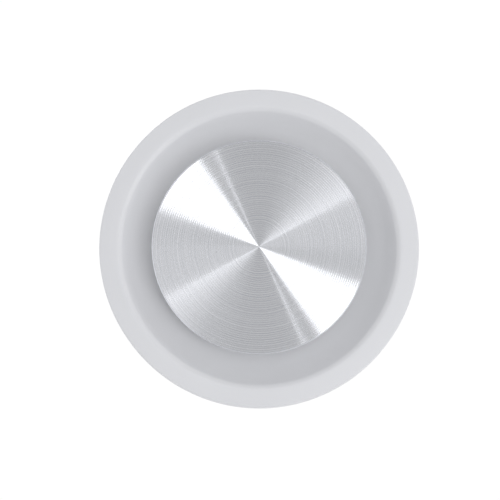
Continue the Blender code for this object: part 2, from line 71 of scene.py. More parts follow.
def linear(hexColour):
    # sRGB hex to the linear colour that shaders use
    channels = []
    for i in (1, 3, 5):
        value = int(hexColour[i:i + 2], 16) / 255
        channels.append(value / 12.92 if value <= 0.04045 else ((value + 0.055) / 1.055) ** 2.4)
    return (*channels, 1.0)


def filleted(corners, segments=5):
    # closed or open outline of (radius, height, rounding) with a curve in place of each rounded corner
    path = []
    for i, (r, z, rounding) in enumerate(corners):
        here = Vector((r, z))
        if rounding == 0:
            path.append(here)
            continue
        before = Vector(corners[i - 1][:2]) - here
        after = Vector(corners[(i + 1) % len(corners)][:2]) - here
        reach = rounding / math.tan(before.angle(after) / 2)
        reach = min(reach, 0.49 * before.length, 0.49 * after.length)
        start = here + before.normalized() * reach
        end = here + after.normalized() * reach
        for k in range(segments + 1):
            t = k / segments
            path.append(start * (1 - t) ** 2 + here * 2 * t * (1 - t) + end * t ** 2)
    return path


def arcPoints(centre, radius, start, end, count):
    points = []
    for i in range(count + 1):
        angle = math.radians(start + (end - start) * i / count)
        points.append(Vector((centre[0] + radius * math.cos(angle), centre[1] + radius * math.sin(angle))))
    return points


def lineObject(name, points):
    # polyline for a tree to read: 2D points stand in the XZ plane
    mesh = bpy.data.meshes.new(name)
    places = [(p[0], 0.0, p[1]) if len(p) == 2 else tuple(p) for p in points]
    mesh.from_pydata(places, [(i, i + 1) for i in range(len(places) - 1)], [])
    return linked(name, mesh)


def linked(name, data):
    obj = bpy.data.objects.new(name, data)
    bpy.context.scene.collection.objects.link(obj)
    return obj


def newTree(name, inputs):
    tree = bpy.data.node_groups.new(name, "GeometryNodeTree")
    tree.interface.new_socket("Geometry", in_out="OUTPUT", socket_type="NodeSocketGeometry")
    for label, kind in inputs:
        tree.interface.new_socket(label, in_out="INPUT", socket_type="NodeSocket" + kind)
    return tree, tree.nodes.new("NodeGroupInput"), tree.nodes.new("NodeGroupOutput")


def closeTree(tree, given, output, geometry):
    # every tree ends in real geometry with its finish on it
    real = addNode(tree, "GeometryNodeRealizeInstances", {0: geometry})
    dressed = {"Geometry": real.outputs[0], "Material": given.outputs["Finish"]}
    finish = addNode(tree, "GeometryNodeSetMaterial", dressed)
    tree.links.new(finish.outputs[0], output.inputs[0])
    return tree


def grown(obj, tree, values):
    # runs a tree on an object and returns the object as a plain mesh
    modifier = obj.modifiers.new(tree.name, "NODES")
    modifier.node_group = tree
    for item in tree.interface.items_tree:
        if item.in_out == "INPUT" and item.name in values:
            modifier[item.identifier] = values[item.name]
    return plain(obj)


def plain(obj):
    # the object's evaluated shape as a mesh of its own, under the same name
    bpy.context.view_layer.update()
    graph = bpy.context.evaluated_depsgraph_get()
    mesh = bpy.data.meshes.new_from_object(obj.evaluated_get(graph))
    obj.modifiers.clear()
    made = linked(obj.name + "Mesh", mesh)
    name = obj.name
    bpy.data.objects.remove(obj, do_unlink=True)
    made.name = name
    return made


def cut(obj, tool, operation):
    boolean = obj.modifiers.new(operation, "BOOLEAN")
    boolean.operation = operation
    boolean.solver = "EXACT"
    boolean.object = tool
    obj = plain(obj)
    bpy.data.objects.remove(tool, do_unlink=True)
    return obj


def plate(name, outline, low, high):
    # solid of a flat outline in XY between two heights
    mesh = bpy.data.meshes.new(name)
    shape = bmesh.new()
    face = shape.faces.new([shape.verts.new((p[0], p[1], low)) for p in outline])
    extruded = bmesh.ops.extrude_face_region(shape, geom=[face])
    raised = [v for v in extruded["geom"] if isinstance(v, bmesh.types.BMVert)]
    bmesh.ops.translate(shape, vec=(0, 0, high - low), verts=raised)
    bmesh.ops.recalc_face_normals(shape, faces=shape.faces)
    shape.to_mesh(mesh)
    shape.free()
    return linked(name, mesh)


def softenEdges(obj, width, segments=2, limit=40):
    bevel = obj.modifiers.new("softEdges", "BEVEL")
    bevel.width = width
    bevel.segments = segments
    bevel.limit_method = "ANGLE"
    bevel.angle_limit = math.radians(limit)
    return plain(obj)


def settle(obj, body, finish, nodes, sharp=34):
    # last step for every piece: finish, shading, the body it rides on and the nodes it stands for
    mesh = obj.data
    mesh.materials.clear()
    mesh.materials.append(finish)
    mesh.polygons.foreach_set("material_index", [0] * len(mesh.polygons))
    mesh.shade_smooth()
    mesh.set_sharp_from_angle(angle=math.radians(sharp))
    if body:
        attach(obj, body)
    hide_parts(*nodes)


# Geometry trees

def aroundAxis(tree, radius, angle, height):
    # where a point lies at this radius, angle and height
    sides = []
    for direction in ("COSINE", "SINE"):
        side = addNode(tree, "ShaderNodeMath", {0: angle}, operation=direction).outputs[0]
        sides.append(addNode(tree, "ShaderNodeMath", {0: side, 1: radius}, operation="MULTIPLY").outputs[0])
    return addNode(tree, "ShaderNodeCombineXYZ", {0: sides[0], 1: sides[1], 2: height}).outputs[0]


def buildTurnTree():
    # turns an outline about Z. A thread can be cut below the thread radius; a depth of 0 leaves it plain.
    inputs = [("Outline", "Geometry"), ("Steps", "Int"), ("Finish", "Material")]
    inputs += [("Thread Radius", "Float"), ("Thread Pitch", "Float"), ("Thread Depth", "Float")]
    tree, given, output = newTree("turnOutline", inputs)
    count = addNode(tree, "GeometryNodeAttributeDomainSize", {0: given.outputs["Outline"]}, component="MESH")
    steps = given.outputs["Steps"]
    columns = addNode(tree, "ShaderNodeMath", {0: steps, 1: 1.0}, operation="ADD").outputs[0]
    sides = {"Size X": 1.0, "Size Y": 1.0, "Vertices X": count.outputs["Point Count"], "Vertices Y": columns}
    grid = addNode(tree, "GeometryNodeMeshGrid", sides)
    index = addNode(tree, "GeometryNodeInputIndex").outputs[0]
    share = addNode(tree, "ShaderNodeMath", {0: index, 1: columns}, operation="DIVIDE").outputs[0]
    ring = addNode(tree, "ShaderNodeMath", {0: share}, operation="FLOOR").outputs[0]
    column = addNode(tree, "ShaderNodeMath", {0: index, 1: columns}, operation="MODULO").outputs[0]
    turn = addNode(tree, "ShaderNodeMath", {0: column, 1: steps}, operation="DIVIDE").outputs[0]
    angle = addNode(tree, "ShaderNodeMath", {0: turn, 1: fullTurn}, operation="MULTIPLY").outputs[0]
    place = addNode(tree, "GeometryNodeInputPosition").outputs[0]
    sampled = {"Geometry": given.outputs["Outline"], "Value": place, "Index": ring}
    sample = addNode(tree, "GeometryNodeSampleIndex", sampled, data_type="FLOAT_VECTOR")
    parts = addNode(tree, "ShaderNodeSeparateXYZ", {0: sample.outputs[0]})
    # thread: a triangle wave that climbs one pitch in a turn
    height = parts.outputs["Z"]
    pitch = given.outputs["Thread Pitch"]
    pitches = addNode(tree, "ShaderNodeMath", {0: height, 1: pitch}, operation="DIVIDE")
    phase = addNode(tree, "ShaderNodeMath", {0: pitches.outputs[0], 1: turn}, operation="SUBTRACT")
    wave = addNode(tree, "ShaderNodeMath", {0: phase.outputs[0], 1: 0.5}, operation="PINGPONG")
    flats = {"Value": wave.outputs[0], "From Min": 0.06, "From Max": 0.44}  # shares of a pitch
    flank = addNode(tree, "ShaderNodeMapRange", flats)
    full = given.outputs["Thread Depth"]
    depth = addNode(tree, "ShaderNodeMath", {0: flank.outputs[0], 1: full}, operation="MULTIPLY")
    crest = given.outputs["Thread Radius"]
    limit = addNode(tree, "ShaderNodeMath", {0: crest, 1: depth.outputs[0]}, operation="SUBTRACT")
    outer = {0: parts.outputs["X"], 1: limit.outputs[0]}
    radius = addNode(tree, "ShaderNodeMath", outer, operation="MINIMUM").outputs[0]
    moved = aroundAxis(tree, radius, angle, height)
    unwrapped = addNode(
        tree,
        "GeometryNodeStoreNamedAttribute",
        {"Geometry": grid.outputs["Mesh"], "Name": "UVMap", "Value": grid.outputs["UV Map"]},
        data_type="FLOAT2",
        domain="CORNER",
    )
    placed = {"Geometry": unwrapped.outputs[0], "Position": moved}
    bent = addNode(tree, "GeometryNodeSetPosition", placed)
    seam = {"Geometry": bent.outputs[0], "Distance": 0.0001 * mm}
    closed = addNode(tree, "GeometryNodeMergeByDistance", seam)
    return closeTree(tree, given, output, closed.outputs[0])


def buildRingTree():
    # copies a shape round the axis
    inputs = [("Shape", "Geometry"), ("Count", "Int"), ("First Angle", "Float"), ("Finish", "Material")]
    tree, given, output = newTree("copiesRoundAxis", inputs)
    points = addNode(tree, "GeometryNodePoints", {"Count": given.outputs["Count"]})
    index = addNode(tree, "GeometryNodeInputIndex").outputs[0]
    share = addNode(tree, "ShaderNodeMath", {0: index, 1: given.outputs["Count"]}, operation="DIVIDE")
    angle = addNode(
        tree,
        "ShaderNodeMath",
        {0: share.outputs[0], 1: fullTurn, 2: given.outputs["First Angle"]},
        operation="MULTIPLY_ADD",
    )
    turned = addNode(tree, "ShaderNodeCombineXYZ", {2: angle.outputs[0]})
    copies = addNode(
        tree,
        "GeometryNodeInstanceOnPoints",
        {"Points": points.outputs[0], "Instance": given.outputs["Shape"], "Rotation": turned.outputs[0]},
    )
    return closeTree(tree, given, output, copies.outputs[0])


def buildCoilTree():
    # winds a wire along a helix whose end turns lie nearly flat
    inputs = [("Shape", "Geometry"), ("Radius", "Float"), ("Wire Radius", "Float"), ("Turns", "Float")]
    inputs += [("Bottom", "Float"), ("Top", "Float"), ("Flatness", "Float"), ("Finish", "Material")]
    tree, given, output = newTree("woundSpring", inputs)
    line = addNode(tree, "GeometryNodeCurvePrimitiveLine")
    count = addNode(tree, "ShaderNodeMath", {0: given.outputs["Turns"], 1: 40.0}, operation="MULTIPLY")
    dense = addNode(tree, "GeometryNodeResampleCurve", {"Curve": line.outputs[0], "Count": count.outputs[0]})
    share = addNode(tree, "GeometryNodeSplineParameter").outputs["Factor"]
    turns = addNode(tree, "ShaderNodeMath", {0: share, 1: given.outputs["Turns"]}, operation="MULTIPLY")
    angle = addNode(tree, "ShaderNodeMath", {0: turns.outputs[0], 1: fullTurn}, operation="MULTIPLY")
    around = addNode(tree, "ShaderNodeMath", {0: share, 1: fullTurn}, operation="MULTIPLY")
    swing = addNode(tree, "ShaderNodeMath", {0: around.outputs[0]}, operation="SINE")
    flatness = given.outputs["Flatness"]
    flat = addNode(tree, "ShaderNodeMath", {0: flatness, 1: -1 / fullTurn}, operation="MULTIPLY")
    easing = {0: swing.outputs[0], 1: flat.outputs[0], 2: share}
    eased = addNode(tree, "ShaderNodeMath", easing, operation="MULTIPLY_ADD")
    height = addNode(
        tree,
        "ShaderNodeMapRange",
        {"Value": eased.outputs[0], "To Min": given.outputs["Bottom"], "To Max": given.outputs["Top"]},
    )
    place = aroundAxis(tree, given.outputs["Radius"], angle.outputs[0], height.outputs[0])
    wound = {"Geometry": dense.outputs[0], "Position": place}
    helix = addNode(tree, "GeometryNodeSetPosition", wound)
    thick = {"Resolution": 14, "Radius": given.outputs["Wire Radius"]}
    section = addNode(tree, "GeometryNodeCurvePrimitiveCircle", thick)
    wire = addNode(
        tree,
        "GeometryNodeCurveToMesh",
        {"Curve": helix.outputs[0], "Profile Curve": section.outputs[0], "Fill Caps": True},
    )
    return closeTree(tree, given, output, wire.outputs[0])


def buildStripTree():
    # sweeps a sheet's section along a path drawn in XY, with the sheet's width along Z
    inputs = [("Path", "Geometry"), ("Thickness", "Float"), ("Width", "Float"), ("Finish", "Material")]
    tree, given, output = newTree("bentStrip", inputs)
    curve = addNode(tree, "GeometryNodeMeshToCurve", {"Mesh": given.outputs["Path"]})
    upright = addNode(tree, "GeometryNodeSetCurveNormal", {"Curve": curve.outputs[0]}, mode="Z_UP")
    section = addNode(
        tree,
        "GeometryNodeCurvePrimitiveQuadrilateral",
        {"Width": given.outputs["Thickness"], "Height": given.outputs["Width"]},
    )
    edge = addNode(tree, "ShaderNodeMath", {0: given.outputs["Thickness"], 1: 0.3}, operation="MULTIPLY")
    rounded = addNode(
        tree,
        "GeometryNodeFilletCurve",
        {"Curve": section.outputs[0], "Radius": edge.outputs[0], "Count": 3},
        mode="POLY",
    )
    swept = addNode(
        tree,
        "GeometryNodeCurveToMesh",
        {"Curve": upright.outputs[0], "Profile Curve": rounded.outputs[0], "Fill Caps": True},
    )
    return closeTree(tree, given, output, swept.outputs[0])


turnTree = buildTurnTree()
ringTree = buildRingTree()
coilTree = buildCoilTree()
stripTree = buildStripTree()
print("trees built")


def turned(name, outline, finish, steps=192, closed=True, thread=(1.0, 1.0, 0.0)):
    points = list(outline)
    if closed:
        points.append(points[0])
    values = {"Steps": steps, "Finish": finish}
    values.update(zip(("Thread Radius", "Thread Pitch", "Thread Depth"), thread))
    return grown(lineObject(name, points), turnTree, values)


def roundAxis(obj, count, firstAngle, finish):
    return grown(obj, ringTree, {"Count": count, "First Angle": firstAngle, "Finish": finish})


# Finishes

def newFinish(name, **sockets):
    # gives the material, its tree, its shader and the place on the object, which every pattern starts from
    material = bpy.data.materials.new(name)
    material.use_nodes = True
    tree = material.node_tree
    tree.nodes.clear()
    output = tree.nodes.new("ShaderNodeOutputMaterial")
    shader = addNode(tree, "ShaderNodeBsdfPrincipled", sockets)
    tree.links.new(shader.outputs[0], output.inputs[0])
    return material, tree, shader, addNode(tree, "ShaderNodeTexCoord").outputs["Object"]


def dress(tree, shader, colour, gloss=None, relief=None):
    # each is a pattern and two ends: tones for the colour, values for the roughness, and for
    # relief too fine for the mesh its strength and depth
    pattern, first, second = colour
    tones = {"Factor": pattern, "A": linear(first), "B": linear(second)}
    tone = addNode(tree, "ShaderNodeMix", tones, data_type="RGBA")
    tree.links.new(tone.outputs["Result"], shader.inputs["Base Color"])
    if gloss:
        pattern, low, high = gloss
        sheen = addNode(tree, "ShaderNodeMapRange", {"Value": pattern, "To Min": low, "To Max": high})
        tree.links.new(sheen.outputs[0], shader.inputs["Roughness"])
    if relief:
        pattern, strength, depth = relief
        grain = {"Height": pattern, "Strength": strength, "Distance": depth}
        bump = addNode(tree, "ShaderNodeBump", grain)
        tree.links.new(bump.outputs[0], shader.inputs["Normal"])


def mouldedPlastic(name, base, shade, roughness, grain, grainDepth):
    # injection-moulded ABS: an even satin skin with the mould's fine spark grain and a faint flow variation
    material, tree, shader, place = newFinish(name, Roughness=roughness, IOR=1.53)
    flow = addNode(tree, "ShaderNodeTexNoise", {"Vector": place, "Scale": 1 / (40 * mm), "Detail": 2.0})
    skin = addNode(tree, "ShaderNodeTexNoise", {"Vector": place, "Scale": 1 / grain, "Detail": 3.0})
    gloss = (skin.outputs[0], roughness - 0.04, roughness + 0.05)
    relief = (skin.outputs[0], 0.35, grainDepth)
    dress(tree, shader, (flow.outputs[0], base, shade), gloss, relief)
    return material


def turnedAluminium():
    # faced on a lathe: concentric tool marks that fan every light out along the radius
    grooves = {"pitch": 0.9 * mm, "even": 1.0 * mm, "evenShare": 0.28, "wander": 5 * mm, "depth": 0.004 * mm}
    sockets = {"Metallic": 1.0, "Roughness": 0.18, "Anisotropic": 1.0}
    material, tree, shader, place = newFinish("turnedAluminium", **sockets)
    flat = addNode(tree, "ShaderNodeVectorMath", {0: place, 1: (1.0, 1.0, 0.0)}, operation="MULTIPLY")
    radius = addNode(tree, "ShaderNodeVectorMath", {0: flat.outputs[0]}, operation="LENGTH").outputs["Value"]
    scratches = {"W": radius, "Scale": 1 / grooves["pitch"], "Detail": 2.0, "Roughness": 0.6}
    fine = addNode(tree, "ShaderNodeTexNoise", scratches, noise_dimensions="1D")
    # the even tool marks are too fine to show, so they are drawn 1 mm apart, broken up by scratches
    turns = addNode(tree, "ShaderNodeMath", {0: radius, 1: fullTurn / grooves["even"]}, operation="MULTIPLY")
    even = addNode(tree, "ShaderNodeMath", {0: turns.outputs[0]}, operation="SINE")
    both = {0: even.outputs[0], 1: grooves["evenShare"], 2: fine.outputs[0]}
    lines = addNode(tree, "ShaderNodeMath", both, operation="MULTIPLY_ADD")
    bands = {"W": radius, "Scale": 1 / grooves["wander"], "Detail": 1.0}
    broad = addNode(tree, "ShaderNodeTexNoise", bands, noise_dimensions="1D")
    gloss = (broad.outputs[0], 0.16, 0.2)
    relief = (fine.outputs[0], 0.5, grooves["depth"])
    dress(tree, shader, (lines.outputs[0], "#dee0e6", "#f1f2f6"), gloss, relief)
    tangent = addNode(tree, "ShaderNodeTangent", direction_type="UV_MAP", uv_map="UVMap")
    tree.links.new(tangent.outputs[0], shader.inputs["Tangent"])
    return material


def platedSteel(name, base, shade, roughness, spot):
    # electroplated steel: bright, slightly clouded, with a grain far finer than its hazy patches
    material, tree, shader, place = newFinish(name, Metallic=1.0, Roughness=roughness)
    cloud = addNode(tree, "ShaderNodeTexNoise", {"Vector": place, "Scale": 1 / spot, "Detail": 4.0})
    gloss = (cloud.outputs[0], roughness - 0.03, roughness + 0.05)
    dress(tree, shader, (cloud.outputs[0], base, shade), gloss)
    return material


def mouldedRubber():
    # EPDM: deep grey with a dull bloom that lifts the colour in patches
    material, tree, shader, place = newFinish("mouldedEpdm", Roughness=0.72)
    bloom = addNode(tree, "ShaderNodeTexNoise", {"Vector": place, "Scale": 1 / (6 * mm), "Detail": 5.0})
    skin = addNode(tree, "ShaderNodeTexNoise", {"Vector": place, "Scale": 1 / (0.5 * mm), "Detail": 2.0})
    relief = (skin.outputs[0], 0.4, 0.03 * mm)
    dress(tree, shader, (bloom.outputs[0], "#1d1d1f", "#35353a"), relief=relief)
    return material


def closedCellFoam(name, dark, light, cell):
    # polyethylene foam: matt skin covered in small burst cells, with painted shade that darkens the colour
    # into each cell's hollow
    material, tree, shader, place = newFinish(name, Roughness=0.92)
    cells = addNode(tree, "ShaderNodeTexVoronoi", {"Vector": place, "Scale": 1 / cell})
    depth = addNode(tree, "ShaderNodeMapRange", {"Value": cells.outputs["Distance"], "From Max": 0.7})
    relief = (depth.outputs[0], 0.7, 0.2 * cell)
    # the dark end is painted shade in the cell hollows, where the bump is lowest; the light end is the skin
    # between cells
    dress(tree, shader, (depth.outputs[0], dark, light), relief=relief)
    return material


def turnedBrass():
    # free-cutting brass off a lathe: warm, with a fine uneven sheen
    material, tree, shader, place = newFinish("turnedBrass", Metallic=1.0, Roughness=0.28)
    sheen = addNode(tree, "ShaderNodeTexNoise", {"Vector": place, "Scale": 1 / (0.3 * mm), "Detail": 1.0})
    dress(tree, shader, (sheen.outputs[0], "#b98f3c", "#dcb865"))
    return material


whiteAbs = mouldedPlastic("satinWhiteAbs", "#e9eaee", "#e4e5e9", 0.36, 0.35 * mm, 0.004 * mm)
carrierAbs = mouldedPlastic("mattWhiteAbs", "#dfe0e2", "#d6d7d9", 0.5, 0.5 * mm, 0.012 * mm)
aluminium = turnedAluminium()
zincSteel = platedSteel("zincPlatedSteel", "#c6c9cd", "#b6babf", 0.3, 1.2 * mm)
springSteel = platedSteel("brightSpringSteel", "#acadaf", "#9fa1a4", 0.28, 0.8 * mm)
brass = turnedBrass()
rubber = mouldedRubber()
greyFoam = closedCellFoam("greyPolyethyleneFoam", "#2e2e31", "#55565a", 0.7 * mm)
padFoam = closedCellFoam("whiteTapeFoam", "#d5d2c8", "#ece9e0", 0.4 * mm)
print("finishes made")


# Valve body

valveBodySizes = {
    "steps": 288,
    "rimCorner": 0.9 * mm,
    "rimFrontZ": -11.1 * mm,
    "rimWall": 1.8 * mm,
    "crestRadius": 67.1 * mm,
    "crestWidth": 1.2 * mm,
    "seatRadius": 50 * mm,
    "seatZ": -4.2 * mm,
    "shoulder": 4.3 * mm,  # radius of the convex part just inside the crest
    "crestFall": math.radians(9),
    "wall": 2.2 * mm,
    "neckRadius": 48.5 * mm,
    "neckBore": 46.2 * mm,
    "mouthRound": 2 * mm,
    "edge": 0.4 * mm,
    "neckRows": 12,  # rings up the neck, so that its shading stays even
    "bossCircle": 42 * mm,
    "bossRadius": 4.5 * mm,
    "bossBottom": 4 * mm,
    "bossTop": 17 * mm,
    "bossWeb": 6 * mm,
    "boreRadius": 1.6 * mm,
    "boreBottom": 8.3 * mm,
    "firstArm": math.radians(90),
    "firstClip": math.radians(30),
    "notchWidth": 10.2 * mm,
    "notchDepth": 1 * mm,
}


def ogee(crestInner, crestZ, offset, size):
    # crest to seat in two tangent arcs, moved by offset into the wall. The first arc starts
    # with a small fall, so that the crest keeps a clean inner line.
    width = crestInner - size["seatRadius"]
    height = size["seatZ"] - crestZ
    shoulder = size["shoulder"]
    fall = size["crestFall"]
    low, high = fall, math.radians(85)
    for _ in range(40):
        steepest = (low + high) / 2
        hollow = (width - shoulder * (math.sin(steepest) - math.sin(fall))) / math.sin(steepest)
        climb = shoulder * (math.cos(fall) - math.cos(steepest)) + hollow * (1 - math.cos(steepest))
        low, high = (steepest, high) if climb < height else (low, steepest)
    centre = (crestInner + shoulder * math.sin(fall), crestZ + shoulder * math.cos(fall))
    steepest = math.degrees(steepest)
    points = arcPoints(centre, shoulder - offset, 270 - math.degrees(fall), 270 - steepest, 12)
    centre = (size["seatRadius"], size["seatZ"] - hollow)
    points += arcPoints(centre, hollow + offset, 90 - steepest, 90, 20)[1:]
    return points


def makeValveBody(size):
    low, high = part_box("valve_body")
    flange = high.x
    crestZ = low.z
    neckTop = high.z
    crestOuter = size["crestRadius"] + size["crestWidth"] / 2
    crestInner = size["crestRadius"] - size["crestWidth"] / 2
    rimInner = flange - size["rimWall"]
    slope = (size["rimFrontZ"] - crestZ) / (flange - crestOuter)
    rimBack = crestZ + slope * (rimInner - crestOuter) + size["wall"]
    edge = size["edge"]
    front = filleted([
        (flange - edge, 0.0, 0.0),
        (flange, -edge, 0.0),
        (flange, size["rimFrontZ"], size["rimCorner"]),
        (crestOuter, crestZ, 0.0),
    ], 8)
    # close pairs of points hold the crest's two lines crisp under smooth shading
    hold = 0.12 * mm
    crest = [Vector((crestOuter + hold, crestZ + hold * slope)), Vector((crestOuter - hold, crestZ))]
    crest.append(Vector((crestInner + hold, crestZ)))
    outline = front[:-1] + crest
    outline += ogee(crestInner, crestZ, 0.0, size)
    mouth = size["neckBore"] + size["mouthRound"]
    mouthTop = size["seatZ"] + size["mouthRound"]
    outline += arcPoints((mouth, mouthTop), size["mouthRound"], 270, 180, 8)
    rows = size["neckRows"]
    for i in range(1, rows):
        outline.append(Vector((size["neckBore"], mouthTop + (neckTop - edge - mouthTop) * i / rows)))
    outline += filleted([
        (size["neckBore"], 0.0, 0.0),
        (size["neckBore"], neckTop, edge),
        (size["neckRadius"], neckTop, edge),
        (size["neckRadius"], 0.0, 0.0),
    ], 4)[1:-1]
    backZ = size["seatZ"] + size["wall"]
    climb = backZ + mm - neckTop + edge
    for i in range(1, rows):
        outline.append(Vector((size["neckRadius"], neckTop - edge + climb * i / rows)))
    outline += arcPoints((size["neckRadius"] + mm, backZ + mm), mm, 180, 270, 5)
    outline += ogee(crestInner, crestZ, size["wall"], size)[::-1]
    outline += filleted([
        (crestInner, crestZ + size["wall"], 0.0),
        (crestOuter, crestZ + size["wall"], 0.0),
        (rimInner, rimBack, 0.8 * mm),
        (rimInner, 0.0, 0.2 * mm),
        (flange - edge, 0.0, 0.0),
    ], 4)[1:-1]
    body = turned("valveBody", outline, whiteAbs, size["steps"])

    # bosses for the spider, each a round post with a web into the wall
    wallMiddle = (size["neckBore"] + size["neckRadius"]) / 2
    post = arcPoints((size["bossCircle"], 0.0), size["bossRadius"], 42, 318, 28)
    half = size["bossWeb"] / 2
    post += [(wallMiddle, -half), (wallMiddle, half)]
    boss = softenEdges(plate("boss", post, size["bossBottom"], size["bossTop"]), 0.3 * mm, 2, 60)
    body = cut(body, roundAxis(boss, 3, size["firstArm"], whiteAbs), "UNION")
    circle = arcPoints((size["bossCircle"], 0.0), size["boreRadius"], 0, 345, 23)
    bore = plate("bore", circle, size["boreBottom"], size["bossTop"] + mm)
    body = cut(body, roundAxis(bore, 3, size["firstArm"], whiteAbs), "DIFFERENCE")
    inner = size["neckBore"] - mm
    outer = size["neckRadius"] + mm
    half = size["notchWidth"] / 2
    sides = [(inner, -half), (outer, -half), (outer, half), (inner, half)]
    notch = plate("notch", sides, neckTop - size["notchDepth"], neckTop + mm)
    body = cut(body, roundAxis(notch, 3, size["firstClip"], whiteAbs), "DIFFERENCE")
    settle(body, "housing", whiteAbs, ["valve_body"])


makeValveBody(valveBodySizes)
print("valve body made")


# Ceiling gasket and neck seal

gasketSizes = {"inner": 50.8 * mm, "outer": 58 * mm, "gap": 0.35 * mm, "edge": 0.5 * mm}
neckSealSizes = {
    "gap": 0.3 * mm,
    "band": 0.9 * mm,
    "edge": 0.25 * mm,
    "lipTip": 0.12 * mm,
    "lipShape": (0.42, 0.56, 0.7),  # tip's top and underside and the foot, as shares of the spacing
}


def makeGasket(size):
    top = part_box("ceiling_gasket")[1].z
    crestInner = valveBodySizes["crestRadius"] - valveBodySizes["crestWidth"] / 2
    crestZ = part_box("valve_body")[0].z
    back = ogee(crestInner, crestZ, valveBodySizes["wall"] + size["gap"], valveBodySizes)
    under = [p for p in back if size["inner"] + 0.2 * mm < p.x < size["outer"] - 0.2 * mm]
    edge = size["edge"]
    outer = [Vector((size["outer"] - edge, top)), Vector((size["outer"], top - edge))]
    outer.append(Vector((size["outer"], under[0].y + edge)))
    inner = [Vector((size["inner"], under[-1].y + edge)), Vector((size["inner"], top - edge))]
    inner.append(Vector((size["inner"] + edge, top)))
    outline = outer + under + inner
    for share in (0.25, 0.5, 0.75):
        outline.append(inner[-1].lerp(outer[0], share))
    gasket = turned("ceilingGasket", outline, greyFoam)
    settle(gasket, "housing", greyFoam, ["ceiling_gasket"])


def makeNeckSeal(size):
    low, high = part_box("neck_seal")
    inner = valveBodySizes["neckRadius"] + size["gap"]
    band = inner + size["band"]
    lip = (high.z - low.z) / 4
    tipTop, tipUnder, foot = (share * lip for share in size["lipShape"])
    corners = [(inner, high.z, size["edge"]), (band, high.z, size["edge"])]
    for start in (high.z - lip, high.z - 3 * lip):
        corners += [(band, start, 0.4 * mm), (high.x, start - tipTop, size["lipTip"])]
        corners += [(high.x, start - tipUnder, size["lipTip"]), (band, start - foot, 0.3 * mm)]
    corners += [(band, low.z, size["edge"]), (inner, low.z, size["edge"])]
    outline = filleted(corners, 3)
    settle(turned("neckSeal", outline, rubber), "housing", rubber, ["neck_seal"])


makeGasket(gasketSizes)
makeNeckSeal(neckSealSizes)
print("gasket and neck seal made")


# Spider with its screws, bush and lock washer

spiderSizes = {
    "hubRadius": 9 * mm,
    "hubBore": 5.9 * mm,
    "armWidth": 4 * mm,
    "armDrop": 2.2 * mm,
    "lugRadius": 3.8 * mm,
    "lugHeight": 3 * mm,
    "holeRadius": 1.6 * mm,
    "edge": 0.3 * mm,
}
screwSizes = {
    "shank": 1.3 * mm,
    "tip": 0.4 * mm,
    "head": 2.9 * mm,
    "headHeight": 2.1 * mm,
    "crown": 0.7 * mm,
    "slotWidth": 0.7 * mm,
    "slotReach": 1.7 * mm,
    "slotDepth": 1.2 * mm,
}
bushSizes = {"bore": 4.3 * mm, "barrel": 5.6 * mm, "flange": 1.2 * mm, "edge": 0.2 * mm}
washerSizes = {"bore": 4.3 * mm, "outer": 7.8 * mm, "edge": 0.2 * mm, "slit": 0.8 * mm, "slitTurn": 70}


def makeSpider(size):
    low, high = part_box("spider")
    circle = valveBodySizes["bossCircle"]
    first = valveBodySizes["firstArm"]
    lugTop = low.z + size["lugHeight"]
    hubOutline = [Vector((size["hubRadius"], high.z)), Vector((size["hubRadius"], low.z))]
    hubOutline += [Vector((size["hubBore"], low.z)), Vector((size["hubBore"], high.z))]
    hub = turned("spiderFrame", hubOutline, carrierAbs, 48)
    side = [
        (size["hubBore"] + mm, low.z),
        (circle, low.z),
        (circle, lugTop - 0.2 * mm),
        (circle - 2 * size["lugRadius"], lugTop),
        (size["hubRadius"] + 2 * mm, high.z - size["armDrop"]),
        (size["hubBore"] + mm, high.z - size["armDrop"]),
    ]
    arm = plate("arm", side, -size["armWidth"] / 2, size["armWidth"] / 2)
    arm.data.transform(Matrix.Rotation(math.pi / 2, 4, "X"))
    lug = plate("lug", arcPoints((circle, 0.0), size["lugRadius"], 0, 350, 35), low.z, lugTop)
    hole = plate("hole", arcPoints((circle, 0.0), size["holeRadius"], 0, 345, 23), low.z - mm, high.z)
    hub = cut(hub, roundAxis(arm, 3, first, carrierAbs), "UNION")
    hub = cut(hub, roundAxis(lug, 3, first, carrierAbs), "UNION")
    hub = cut(hub, roundAxis(hole, 3, first, carrierAbs), "DIFFERENCE")
    hub = softenEdges(hub, size["edge"], 2, 35)
    settle(hub, "housing", carrierAbs, ["spider"])


def makeSpiderScrews(size):
    low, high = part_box("spider_screw_1")
    headZ = high.z - size["headHeight"]
    shank = size["shank"]
    corners = [(0.0, high.z, 0.0), (size["head"] * 0.62, high.z, 0.6 * mm)]
    corners += [(size["head"], headZ + size["crown"], 0.4 * mm), (size["head"], headZ, 0.1 * mm)]
    corners += [(shank, headZ, 0.0), (shank, low.z + shank, 0.0)]
    corners += [(size["tip"], low.z, 0.0), (0.0, low.z, 0.0)]
    screw = turned("spiderScrews", filleted(corners, 4), zincSteel, 40, closed=False)
    half = size["slotWidth"] / 2
    reach = size["slotReach"]
    cross = [(reach, -half), (reach, half), (half, half), (half, reach), (-half, reach), (-half, half)]
    cross += [(-x, -y) for x, y in cross]
    screw = cut(screw, plate("cross", cross, high.z - size["slotDepth"], high.z + mm), "DIFFERENCE")
    screw.data.transform(Matrix.Translation((valveBodySizes["bossCircle"], 0.0, 0.0)))
    screws = roundAxis(screw, 3, valveBodySizes["firstArm"], zincSteel)
    nodes = ["spider_screw_1", "spider_screw_2", "spider_screw_3"]
    settle(screws, "housing", zincSteel, nodes)


def makeBush(size):
    low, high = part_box("spindle_bush")
    bore = size["bore"]
    barrel = size["barrel"]
    flangeTop = low.z + size["flange"]
    edge = size["edge"]
    corners = [(bore, high.z, edge), (barrel, high.z, edge), (barrel, flangeTop, 0.0)]
    corners += [(high.x, flangeTop, edge), (high.x, low.z, edge), (bore, low.z, edge)]
    bush = turned("spindleBush", filleted(corners, 3), brass, 96)
    settle(bush, "housing", brass, ["spindle_bush"])


